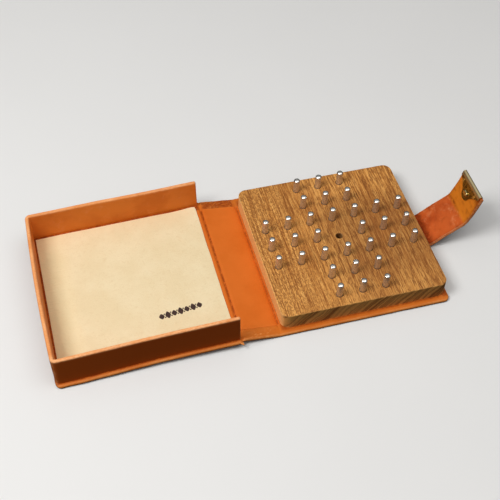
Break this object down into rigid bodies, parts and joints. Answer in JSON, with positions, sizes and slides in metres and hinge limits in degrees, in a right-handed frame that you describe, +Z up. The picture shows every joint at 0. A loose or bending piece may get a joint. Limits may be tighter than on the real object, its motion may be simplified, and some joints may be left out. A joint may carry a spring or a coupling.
{
  "type": "travel peg solitaire set",
  "caption": "Peg solitaire game in a folding leather case: drilled wooden board with steel pegs on the base, tray lid, spine and fastening tab with brass clasp.",
  "frame": {"origin": "on the base panel's underside, straight below the board's centre hole", "axes": "+X from the lid towards the fastening tab, +Y away from the near edge, +Z up from the table"},
  "size_m": [0.281, 0.1186, 0.0396],
  "materials": {
    "case_leather": "smooth, waxed, worn at edges",
    "lining_leather": "satin",
    "tab_lining": "polished by use",
    "core_board": "matte",
    "cream_card": "matte, mottled",
    "oak": "oiled, open pored",
    "peg_steel": "turned, polished tops",
    "clasp_brass": "bright, lightly tarnished"
  },
  "bodies": {
    "base": {"base_board": "core_board", "base_leather": "case_leather", "base_lining": "lining_leather", "tab_root": "case_leather", "peg_board": "oak"},
    "spine": {"spine_board": "core_board", "spine_leather": "case_leather", "spine_lining": "lining_leather"},
    "lid": {"lid_board": "core_board", "lid_leather": "case_leather", "lid_lining": "lining_leather", "lid_card": "cream_card", "strike_plate": "clasp_brass", "strike_rivets": "clasp_brass", "far_wall_board": "core_board", "far_wall_leather": "case_leather", "near_wall_board": "core_board", "near_wall_leather": "case_leather", "left_wall_board": "core_board", "left_wall_leather": "case_leather"},
    "tab": {"tab_outer_leather": "case_leather", "tab_inner_leather": "tab_lining"},
    "tab_end": {"tip_outer_leather": "case_leather", "tip_inner_leather": "tab_lining", "clasp_plate": "clasp_brass", "clasp_rivets": "clasp_brass", "clasp_nib": "clasp_brass"},
    "peg_r1c3": {"peg_r1c3": "peg_steel"},
    "peg_r1c4": {"peg_r1c4": "peg_steel"},
    "peg_r1c5": {"peg_r1c5": "peg_steel"},
    "peg_r2c3": {"peg_r2c3": "peg_steel"},
    "peg_r2c4": {"peg_r2c4": "peg_steel"},
    "peg_r2c5": {"peg_r2c5": "peg_steel"},
    "peg_r3c1": {"peg_r3c1": "peg_steel"},
    "peg_r3c2": {"peg_r3c2": "peg_steel"},
    "peg_r3c3": {"peg_r3c3": "peg_steel"},
    "peg_r3c4": {"peg_r3c4": "peg_steel"},
    "peg_r3c5": {"peg_r3c5": "peg_steel"},
    "peg_r3c6": {"peg_r3c6": "peg_steel"},
    "peg_r3c7": {"peg_r3c7": "peg_steel"},
    "peg_r4c1": {"peg_r4c1": "peg_steel"},
    "peg_r4c2": {"peg_r4c2": "peg_steel"},
    "peg_r4c3": {"peg_r4c3": "peg_steel"},
    "peg_r4c5": {"peg_r4c5": "peg_steel"},
    "peg_r4c6": {"peg_r4c6": "peg_steel"},
    "peg_r4c7": {"peg_r4c7": "peg_steel"},
    "peg_r5c1": {"peg_r5c1": "peg_steel"},
    "peg_r5c2": {"peg_r5c2": "peg_steel"},
    "peg_r5c3": {"peg_r5c3": "peg_steel"},
    "peg_r5c4": {"peg_r5c4": "peg_steel"},
    "peg_r5c5": {"peg_r5c5": "peg_steel"},
    "peg_r5c6": {"peg_r5c6": "peg_steel"},
    "peg_r5c7": {"peg_r5c7": "peg_steel"},
    "peg_r6c3": {"peg_r6c3": "peg_steel"},
    "peg_r6c4": {"peg_r6c4": "peg_steel"},
    "peg_r6c5": {"peg_r6c5": "peg_steel"},
    "peg_r7c3": {"peg_r7c3": "peg_steel"},
    "peg_r7c4": {"peg_r7c4": "peg_steel"},
    "peg_r7c5": {"peg_r7c5": "peg_steel"}
  },
  "joints": [
    {"name": "base_hinge", "type": "hinge", "parent": "base", "child": "spine", "pos_m": [-0.0559, 0, 0.0019], "axis": [0, -1, 0], "range_deg": [-82.06, 0]},
    {"name": "lid_hinge", "type": "hinge", "parent": "spine", "child": "lid", "pos_m": [-0.07937, 0, 0.00517], "axis": [0, -1, 0], "range_deg": [-99.61, 0]},
    {"name": "tab_hinge", "type": "hinge", "parent": "base", "child": "tab", "pos_m": [0.0583, 0, 0.0015], "axis": [0, 1, 0], "range_deg": [-55.5, 34.5]},
    {"name": "tab_fold", "type": "hinge", "parent": "tab", "child": "tab_end", "pos_m": [0.08109, 0, 0.01716], "axis": [0, 1, 0], "range_deg": [-52, 38]},
    {"name": "peg_r1c3_lift", "type": "slide", "parent": "base", "child": "peg_r1c3", "axis": [0, 0, 1], "range_m": [0, 0.02]},
    {"name": "peg_r1c4_lift", "type": "slide", "parent": "base", "child": "peg_r1c4", "axis": [0, 0, 1], "range_m": [0, 0.02]},
    {"name": "peg_r1c5_lift", "type": "slide", "parent": "base", "child": "peg_r1c5", "axis": [0, 0, 1], "range_m": [0, 0.02]},
    {"name": "peg_r2c3_lift", "type": "slide", "parent": "base", "child": "peg_r2c3", "axis": [0, 0, 1], "range_m": [0, 0.02]},
    {"name": "peg_r2c4_lift", "type": "slide", "parent": "base", "child": "peg_r2c4", "axis": [0, 0, 1], "range_m": [0, 0.02]},
    {"name": "peg_r2c5_lift", "type": "slide", "parent": "base", "child": "peg_r2c5", "axis": [0, 0, 1], "range_m": [0, 0.02]},
    {"name": "peg_r3c1_lift", "type": "slide", "parent": "base", "child": "peg_r3c1", "axis": [0, 0, 1], "range_m": [0, 0.02]},
    {"name": "peg_r3c2_lift", "type": "slide", "parent": "base", "child": "peg_r3c2", "axis": [0, 0, 1], "range_m": [0, 0.02]},
    {"name": "peg_r3c3_lift", "type": "slide", "parent": "base", "child": "peg_r3c3", "axis": [0, 0, 1], "range_m": [0, 0.02]},
    {"name": "peg_r3c4_lift", "type": "slide", "parent": "base", "child": "peg_r3c4", "axis": [0, 0, 1], "range_m": [0, 0.02]},
    {"name": "peg_r3c5_lift", "type": "slide", "parent": "base", "child": "peg_r3c5", "axis": [0, 0, 1], "range_m": [0, 0.02]},
    {"name": "peg_r3c6_lift", "type": "slide", "parent": "base", "child": "peg_r3c6", "axis": [0, 0, 1], "range_m": [0, 0.02]},
    {"name": "peg_r3c7_lift", "type": "slide", "parent": "base", "child": "peg_r3c7", "axis": [0, 0, 1], "range_m": [0, 0.02]},
    {"name": "peg_r4c1_lift", "type": "slide", "parent": "base", "child": "peg_r4c1", "axis": [0, 0, 1], "range_m": [0, 0.02]},
    {"name": "peg_r4c2_lift", "type": "slide", "parent": "base", "child": "peg_r4c2", "axis": [0, 0, 1], "range_m": [0, 0.02]},
    {"name": "peg_r4c3_lift", "type": "slide", "parent": "base", "child": "peg_r4c3", "axis": [0, 0, 1], "range_m": [0, 0.02]},
    {"name": "peg_r4c5_lift", "type": "slide", "parent": "base", "child": "peg_r4c5", "axis": [0, 0, 1], "range_m": [0, 0.02]},
    {"name": "peg_r4c6_lift", "type": "slide", "parent": "base", "child": "peg_r4c6", "axis": [0, 0, 1], "range_m": [0, 0.02]},
    {"name": "peg_r4c7_lift", "type": "slide", "parent": "base", "child": "peg_r4c7", "axis": [0, 0, 1], "range_m": [0, 0.02]},
    {"name": "peg_r5c1_lift", "type": "slide", "parent": "base", "child": "peg_r5c1", "axis": [0, 0, 1], "range_m": [0, 0.02]},
    {"name": "peg_r5c2_lift", "type": "slide", "parent": "base", "child": "peg_r5c2", "axis": [0, 0, 1], "range_m": [0, 0.02]},
    {"name": "peg_r5c3_lift", "type": "slide", "parent": "base", "child": "peg_r5c3", "axis": [0, 0, 1], "range_m": [0, 0.02]},
    {"name": "peg_r5c4_lift", "type": "slide", "parent": "base", "child": "peg_r5c4", "axis": [0, 0, 1], "range_m": [0, 0.02]},
    {"name": "peg_r5c5_lift", "type": "slide", "parent": "base", "child": "peg_r5c5", "axis": [0, 0, 1], "range_m": [0, 0.02]},
    {"name": "peg_r5c6_lift", "type": "slide", "parent": "base", "child": "peg_r5c6", "axis": [0, 0, 1], "range_m": [0, 0.02]},
    {"name": "peg_r5c7_lift", "type": "slide", "parent": "base", "child": "peg_r5c7", "axis": [0, 0, 1], "range_m": [0, 0.02]},
    {"name": "peg_r6c3_lift", "type": "slide", "parent": "base", "child": "peg_r6c3", "axis": [0, 0, 1], "range_m": [0, 0.02]},
    {"name": "peg_r6c4_lift", "type": "slide", "parent": "base", "child": "peg_r6c4", "axis": [0, 0, 1], "range_m": [0, 0.02]},
    {"name": "peg_r6c5_lift", "type": "slide", "parent": "base", "child": "peg_r6c5", "axis": [0, 0, 1], "range_m": [0, 0.02]},
    {"name": "peg_r7c3_lift", "type": "slide", "parent": "base", "child": "peg_r7c3", "axis": [0, 0, 1], "range_m": [0, 0.02]},
    {"name": "peg_r7c4_lift", "type": "slide", "parent": "base", "child": "peg_r7c4", "axis": [0, 0, 1], "range_m": [0, 0.02]},
    {"name": "peg_r7c5_lift", "type": "slide", "parent": "base", "child": "peg_r7c5", "axis": [0, 0, 1], "range_m": [0, 0.02]}
  ]
}
